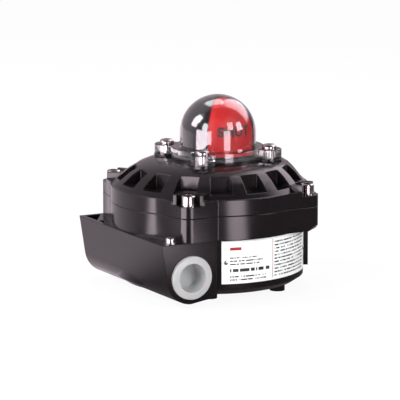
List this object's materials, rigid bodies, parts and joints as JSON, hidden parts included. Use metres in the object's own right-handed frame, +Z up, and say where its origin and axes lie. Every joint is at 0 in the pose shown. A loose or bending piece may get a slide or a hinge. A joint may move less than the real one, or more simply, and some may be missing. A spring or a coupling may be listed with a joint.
{
  "type": "valve limit switch box",
  "caption": "Round flanged die-cast switch box with a side conduit block, a clear dome position indicator, a central drive shaft, cams and limit switches.",
  "frame": {"origin": "on the drive shaft's axis, in the plane of the four mounting feet", "axes": "+Z up along the shaft; -Y is the nameplate side; the conduit block runs along Y on the -X side"},
  "size_m": [0.1454, 0.144, 0.1406],
  "materials": {
    "housing_paint": "satin black powder coat",
    "stainless_steel": "turned stainless steel",
    "zinc_steel": "zinc plated steel",
    "seal_rubber": "moulded rubber",
    "clear_lens": "clear moulded polycarbonate",
    "mask_black": "gloss black moulding",
    "vane_red": "red moulding",
    "vane_yellow": "yellow moulding",
    "cam_green": "green moulding",
    "cam_black": "black moulding",
    "bronze": "sintered bronze",
    "contact_brass": "plated brass",
    "switch_case": "black phenolic",
    "terminal_plastic": "dark grey moulding",
    "plug_plastic": "translucent white moulding",
    "nameplate_metal": "printed white aluminium plate"
  },
  "bodies": {
    "housing": {"body": "housing_paint", "closed_switch": "switch_case", "cover": "housing_paint", "cover_bolts": "stainless_steel", "cover_seal": "seal_rubber", "cover_spring_washers": "stainless_steel", "dome_lens": "clear_lens", "dome_screws": "stainless_steel", "dome_seal": "seal_rubber", "dust_plug": "plug_plastic", "earth_screw": "stainless_steel", "earth_washers": "stainless_steel", "indicator_mask": "mask_black", "inner_earth_screw": "zinc_steel", "lower_bush": "bronze", "lower_shaft_seal": "seal_rubber", "nameplate": "nameplate_metal", "open_switch": "switch_case", "plate_screws": "zinc_steel", "strip_screws": "zinc_steel", "switch_plate": "zinc_steel", "switch_screws": "zinc_steel", "switch_spacers": "zinc_steel", "switch_tabs": "contact_brass", "terminal_screws": "contact_brass", "terminal_strip": "terminal_plastic", "upper_bush": "bronze", "upper_shaft_seal": "seal_rubber"},
    "rotor": {"shaft": "stainless_steel", "retaining_ring": "zinc_steel", "cam_hub": "cam_black", "cam_closed": "vane_red", "cam_open": "cam_green", "cam_spring": "zinc_steel", "indicator_rotor": "cam_black", "closed_vanes": "vane_red", "open_vanes": "vane_yellow", "indicator_screw": "stainless_steel"},
    "closed_lever_arm": {"closed_lever": "zinc_steel"},
    "open_lever_arm": {"open_lever": "zinc_steel"},
    "closed_button": {"closed_plunger": "vane_red"},
    "open_button": {"open_plunger": "vane_red"}
  },
  "joints": [
    {"name": "shaft_turn", "type": "hinge", "parent": "housing", "child": "rotor", "pos_m": [0, 0, 0], "axis": [0, 0, 1], "range_deg": [0, 90]},
    {"name": "closed_lever_swing", "type": "hinge", "parent": "housing", "child": "closed_lever_arm", "pos_m": [0.0254, 0.015, 0.033], "axis": [0, 0, 1], "range_deg": [-8.5, 0.5]},
    {"name": "open_lever_swing", "type": "hinge", "parent": "housing", "child": "open_lever_arm", "pos_m": [0.0254, 0.015, 0.047], "axis": [0, 0, 1], "range_deg": [-0.5, 8.5]},
    {"name": "closed_plunger_travel", "type": "slide", "parent": "housing", "child": "closed_button", "axis": [1, 0, 0], "range_m": [-0.00102, 0.00005]},
    {"name": "open_plunger_travel", "type": "slide", "parent": "housing", "child": "open_button", "axis": [1, 0, 0], "range_m": [-0.00005, 0.00102]}
  ],
  "couplings": [
    {"joint": "closed_lever_swing", "follows": "shaft_turn", "ratio": -0.088889},
    {"joint": "open_lever_swing", "follows": "shaft_turn", "ratio": 0.088889},
    {"joint": "closed_plunger_travel", "follows": "shaft_turn", "m_per_rad": -0.0006202},
    {"joint": "open_plunger_travel", "follows": "shaft_turn", "m_per_rad": 0.0006202}
  ]
}
